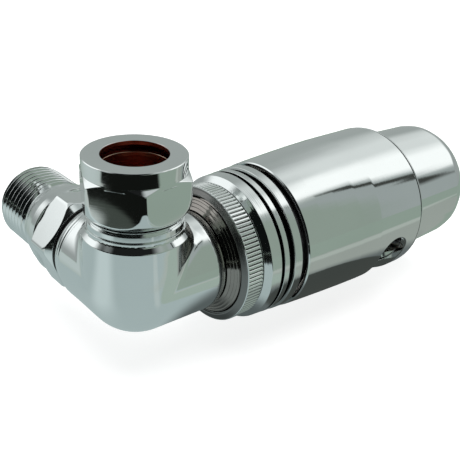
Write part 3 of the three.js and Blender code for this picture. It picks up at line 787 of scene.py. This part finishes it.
def slot_ring(spots, t, lip, depth, lean, mirror):
    """One ring of the slot's side: a share t of the way in from the patch edge, or on the slot's own
    outline widened by lip, at a depth under the surface, its normal leaning into the slot."""
    reach = math.radians(SLOT_LAST - SLOT_FIRST) / 2 * BARREL_RADIUS - SLOT_WIDTH / 2
    middle = math.radians(SLOT_FIRST + SLOT_LAST) / 2 * BARREL_RADIUS
    flat = np.array([(angle * BARREL_RADIUS - middle, station - SLOT_CENTRE) for angle, station in spots])
    core = np.clip(flat[:, 0], -reach, reach)
    away = np.stack([flat[:, 0] - core, flat[:, 1]], -1)
    away /= np.linalg.norm(away, axis=1)[:, None]
    rim = np.stack([core, 0 * core], -1) + away * (SLOT_WIDTH / 2 + lip)
    flat = flat * (1 - t) + rim * t
    angle = (flat[:, 0] + middle) / BARREL_RADIUS
    radius = BARREL_RADIUS - depth
    sign = -1 if mirror else 1
    points = on_axis("head", flat[:, 1] + SLOT_CENTRE, radius + 0 * angle, sign * angle)
    outward = on_axis("head", 0 * angle, 1 + 0 * angle, sign * angle)
    around = on_axis("head", 0 * angle, 1 + 0 * angle, sign * (angle + TURN / 4))
    inward = -(away[:, :1] * around + away[:, 1:] * np.array([1.0, 0, 0]))
    return points, outward * math.cos(lean) + inward * math.sin(lean)


def slot_steps():
    """How slot_ring() is taken from the outside of the wall, round its two edges, to the inside."""
    wall = BARREL_RADIUS - BORE
    bends = np.linspace(0, math.pi / 2, 5)
    steps = [(t, SLOT_LIP, 0, 0) for t in (0.35, 0.7)]
    for b in bends:
        steps.append((1, SLOT_LIP * (1 - math.sin(b)), SLOT_LIP * (1 - math.cos(b)), b))
    for b in bends:
        steps.append((1, SLOT_LIP * (1 - math.cos(b)), wall - SLOT_LIP * (1 - math.sin(b)), math.pi / 2 + b))
    return steps + [(t, SLOT_LIP, wall, math.pi) for t in (0.7, 0.35)]


def patch_edge(levels, first, last):
    """The grid points round a patch, as (row, column)."""
    cells = [(levels[0], k) for k in range(first, last)]
    cells += [(level, last) for level in levels[:-1]]
    cells += [(levels[-1], k) for k in range(last, first, -1)]
    return cells + [(level, first) for level in levels[:0:-1]]


def make_barrel():
    path, sides = barrel_rows()
    angles = np.arange(COLUMNS) * TURN / COLUMNS
    rows, row_normals = surface("head", path, sides, angles)
    vertices = list(rows.reshape(-1, 3))
    normals = list(row_normals.reshape(-1, 3))
    levels = [i for i, p in enumerate(path) if PATCH_FROM - 1e-6 <= p[0] <= PATCH_TO + 1e-6]
    outer = [i for i in levels if path[i][1] > BORE + 1]
    inner = [i for i in levels if path[i][1] < BORE + 1][::-1]
    faces = []
    spans = [PATCH, (COLUMNS - PATCH[1], COLUMNS - PATCH[0])]
    for i in range(len(path)):
        j = (i + 1) % len(path)
        in_patch = {i, j} <= set(outer) or {i, j} <= set(inner)
        for k in range(COLUMNS):
            if in_patch and any(first <= k < last for first, last in spans):
                continue
            m = (k + 1) % COLUMNS
            faces.append((i * COLUMNS + k, j * COLUMNS + k, j * COLUMNS + m, i * COLUMNS + m))
    for mirror, (first, last) in enumerate(spans):
        outside = patch_edge(outer, first, last)
        inside = patch_edge(inner, first, last)
        spots = [(TURN - angles[k] if mirror else angles[k], path[level][0]) for level, k in outside]
        row = [level * COLUMNS + k for level, k in outside]
        for t, lip, depth, lean in slot_steps():
            points, leaning = slot_ring(spots, t, lip, depth, lean, mirror)
            start = len(vertices)
            vertices.extend(points)
            normals.extend(leaning)
            fresh = list(range(start, start + len(points)))
            faces += ring_faces(row, fresh)
            row = fresh
        faces += ring_faces(row, [level * COLUMNS + k for level, k in inside])
    return add_mesh("slotted_barrel", vertices, normals, faces)


finish_piece(make_barrel(), "handwheel", "chrome_plate", chrome, "handwheel_barrel")

TRIM_END = high("cap_trim_ring").x
trim = turned("barrel_trim_ring", "head", [
    (TRIM_END - 1.1, 18.25), (TRIM_END - 1.1, 20.8, 0.1), (81.4, 20.7, 0.4), (81.9, 20.2, 0.4),
    (TRIM_END, 18.25),
], bevel=0.1, closed=True)
finish_piece(trim, "handwheel", "chrome_plate", chrome, "cap_trim_ring")

CAP_END = high("end_cap").x
CAP_ROUNDING = 7.4               # radius of the cap's outer edge
cap = turned("domed_end_cap", "head", [
    (CAP_END - 1.9, 0), (CAP_END - 1.9, 15.4, 5.7), (78.4, 16.3, 0.2), (78.4, 18.6), (80.4, 18.6),
    (80.4, 17.95), (82, 17.95, 1), (CAP_END - 0.2, 17.02, CAP_ROUNDING), (CAP_END, 0),
], bevel=0.1)
finish_piece(cap, "handwheel", "chrome_plate", chrome, "end_cap")

# The pieces inside keep their CAD shape.
for material, names in (
    (rubber, ["bonnet_o_ring", "gland_o_ring", "disc_washer"]),
    (bright_brass, ["gland_nut", "spindle_guide", "disc_holder", "disc_screw"]),
    (stainless, ["spindle", "spindle_collar", "capsule_piston"]),
    (spring_steel, ["ring_clip", "sleeve_circlip", "overtravel_spring"]),
    (black_plastic, ["guide_sleeve"]),
    (white_plastic, ["sensor_carrier", "handwheel_liner", "piston_cup", "push_pin"]),
):
    for name in names:
        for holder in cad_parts[name].material_slots:
            holder.material = material

# ---- studio ---------------------------------------------------------------------------------
# The metal mirrors the room around it, which is a sky with soft-edged cards in it and a bench top under
# it, a glowing sheet painted with light and shade. A card is (heading, half width, edge, height, half height,
# edge, colour). Headings run from +X towards +Y and heights from the horizon, in degrees.
SKY = rgb(0.33, 0.36, 0.355)
CARDS = [
    (0, 180, 1, 80, 32, 14, rgb(0.54, 0.58, 0.58)),        # softbox overhead
    (50, 34, 8, 8, 28, 8, rgb(0.36, 0.395, 0.385)),        # wall behind the object
    (5, 30, 16, 38, 18, 6, rgb(0.74, 0.78, 0.77)),         # lit wall past the head
    (-20, 20, 10, 37, 19, 4, rgb(1.1, 1.13, 1.12)),        # window at its side
    (122, 20, 7, 34, 23, 12, rgb(1.06, 1.1, 1.1)),         # white wall at the left
    (-131, 62, 14, 62, 27, 6, rgb(0.012, 0.013, 0.013)),   # dark ceiling above the camera
    (-68, 37, 2, 5, 40, 6, rgb(0.285, 0.345, 0.30)),       # grey room at the right
    (-36, 8, 4, 5, 40, 6, rgb(0.34, 0.38, 0.375)),         # and its far end
    (-33, 1.6, 0.8, 28, 16, 3, rgb(0.05, 0.055, 0.05)),    # dark edge of the window
    (-158, 52, 10, 0, 42, 5, rgb(0.004, 0.005, 0.005)),    # unlit room behind the camera
]


def make_world():
    world = bpy.data.worlds.new("studio")
    bpy.context.scene.world = world
    nodes = Nodes(world)
    direction = nodes.add("ShaderNodeTexCoord").outputs["Generated"]
    ragged = nodes.add("ShaderNodeTexNoise", {"Vector": direction, "Scale": 9.0, "Detail": 5.0}).outputs[0]
    split = nodes.add("ShaderNodeSeparateXYZ", {0: direction})
    wander = nodes.ramp(ragged, -3.0, 3.0)
    heading = nodes.math("DEGREES", nodes.math("ARCTAN2", split.outputs[1], split.outputs[0]))
    heading = nodes.math("ADD", heading, wander)
    height = nodes.math("DEGREES", nodes.math("ARCSINE", split.outputs[2]))
    colour = SKY
    for centre, width, edge, level, tall, top_edge, shade in CARDS:
        off = nodes.math("WRAP", nodes.math("SUBTRACT", heading, centre), 180.0, -180.0)
        off = nodes.math("ABSOLUTE", off)
        across = nodes.ramp(off, 1.0, 0.0, width - edge, width + edge, "SMOOTHSTEP")
        off = nodes.math("ABSOLUTE", nodes.math("SUBTRACT", height, level))
        upright = nodes.ramp(off, 1.0, 0.0, tall - top_edge, tall + top_edge, "SMOOTHSTEP")
        colour = nodes.blend(nodes.math("MULTIPLY", across, upright), colour, shade)
    camera_ray = nodes.add("ShaderNodeLightPath").outputs["Is Camera Ray"]
    seen = nodes.blend(camera_ray, colour, rgb(1.0, 1.0, 1.0))
    background = nodes.add("ShaderNodeBackground", {"Color": seen, "Strength": 1.0})
    nodes.add("ShaderNodeOutputWorld", {"Surface": background.outputs[0]})


def flat_sheet(name, corners, material):
    mesh = bpy.data.meshes.new(name)
    mesh.from_pydata([tuple(c * MM for c in corner) for corner in corners], [], [tuple(range(len(corners)))])
    mesh.materials.append(material)
    sheet = bpy.data.objects.new(name, mesh)
    bpy.context.scene.collection.objects.link(sheet)
    return sheet


# Painted light and shade on the bench top, and a darker, greener patch under the head, as soft ellipses,
# later ones
# over earlier ones: (centre x, centre y, half width x, half width y, edge as a share of the half width,
# colour).
BENCH = rgb(0.29, 0.36, 0.31)
BENCH_LIGHT_AND_SHADE = [
    (-150, 130, 140, 110, 0.45, rgb(0.50, 0.57, 0.56)),        # lit floor at the left
    (-110, -105, 146, 140, 0.06, rgb(0.006, 0.007, 0.006)),    # unlit floor towards the camera
    (-87, 0, 33, 30, 0.04, rgb(0.055, 0.066, 0.057)),          # its edge, a little less dark
    (-96, 19, 24, 40, 0.06, rgb(0.50, 0.55, 0.53)),            # and the lit floor next to it
    (0, 0, 84, 84, 0.08, rgb(0.395, 0.475, 0.475)),            # painted light: the floor paler round the valve
    (-60, 9, 36, 20, 0.6, rgb(0.55, 0.64, 0.64)),              # painted brighter light on it
    (4, -62, 5, 24, 0.5, rgb(0.47, 0.54, 0.53)),
    (92, -45, 72, 24, 0.03, rgb(0.34, 0.375, 0.345)),          # darker, greener patch under the head
    (78, -28, 46, 24, 0.03, rgb(0.34, 0.375, 0.345)),
    (95, -60, 84, 6, 0.4, rgb(0.42, 0.47, 0.43)),              # painted brighter light along its front edge
    (34, -46, 24, 13, 0.1, rgb(0.36, 0.44, 0.39)),
    (60, -12, 42, 22, 0.2, rgb(0.13, 0.15, 0.15)),             # shadows of the head and the body
    (26, -3, 14, 14, 0.4, rgb(0.10, 0.12, 0.12)),
    (60, -18, 24, 15, 0.05, rgb(0.055, 0.062, 0.057)),
]


# The bench top's glowing colour: painted light and shade, which only the metal's reflections show.
def painted_bench_material():
    material = bpy.data.materials.new("bench")
    nodes = Nodes(material)
    place = nodes.add("ShaderNodeTexCoord").outputs["Object"]
    colour = BENCH
    for x, y, wide, deep, edge, shade in BENCH_LIGHT_AND_SHADE:
        centred = nodes.add("ShaderNodeVectorMath", {0: place, 1: (-x * MM, -y * MM, 0.0)}, operation="ADD")
        scale = (1 / (wide * MM), 1 / (deep * MM), 0.0)
        scaled = nodes.add("ShaderNodeVectorMath", {0: centred.outputs[0], 1: scale}, operation="MULTIPLY")
        reach = nodes.add("ShaderNodeVectorMath", {0: scaled.outputs[0]}, operation="LENGTH").outputs["Value"]
        mask = nodes.ramp(reach, 1.0, 0.0, 1 - edge, 1 + edge, "SMOOTHSTEP")
        colour = nodes.blend(mask, colour, shade)
    light = nodes.add("ShaderNodeEmission", {"Color": colour, "Strength": 1.0})
    nodes.add("ShaderNodeOutputMaterial", {"Surface": light.outputs[0]})
    return material


FLOOR_DROP = 6                   # how far the floor and the bench top lie below the barrel
BENCH_DROP = 1
FLOOR_SIZE = 3000


def make_floor():
    """The pale floor that the camera sees, and the grey bench top that the metal reflects, which glows with
    painted light and shade.
    """
    pale = bpy.data.materials.new("pale_floor")
    nodes = Nodes(pale)
    paint = nodes.add("ShaderNodeBsdfDiffuse", {"Color": rgb(0.4, 0.4, 0.4)})
    lift = nodes.add("ShaderNodeEmission", {"Color": rgb(1, 1, 1), "Strength": 0.82})
    both = nodes.add("ShaderNodeAddShader", {0: paint.outputs[0], 1: lift.outputs[0]})
    nodes.add("ShaderNodeOutputMaterial", {"Surface": both.outputs[0]})
    far = FLOOR_SIZE
    level = low("handwheel_barrel").z - FLOOR_DROP
    floor = flat_sheet("floor", [(-far, -far, level), (far, -far, level), (far, far, level),
                                 (-far, far, level)], pale)
    floor.visible_glossy = False
    # The bench top glows with painted light and shade, and only the metal's reflections see it.
    level = low("handwheel_barrel").z - BENCH_DROP
    bench = flat_sheet("bench_reflection", [(-260, -260, level), (300, -260, level), (300, 260, level),
                                            (-260, 260, level)], painted_bench_material())
    for ray in ("visible_camera", "visible_diffuse", "visible_shadow", "visible_transmission"):
        setattr(bench, ray, False)


LAMP_PLACE = (50, -100, 800)
LAMP_SIZE = 900


def make_light():
    """A round softbox overhead. It lights the floor and the matt pieces, and the metal doesn't show it."""
    data = bpy.data.lights.new("softbox", "AREA")
    data.shape = "DISK"
    data.size = LAMP_SIZE * MM
    data.energy = 9
    lamp = bpy.data.objects.new("softbox", data)
    lamp.location = [length * MM for length in LAMP_PLACE]
    lamp.visible_glossy = False
    bpy.context.scene.collection.objects.link(lamp)


make_world()
make_floor()
make_light()
bpy.context.scene.view_settings.view_transform = "Standard"
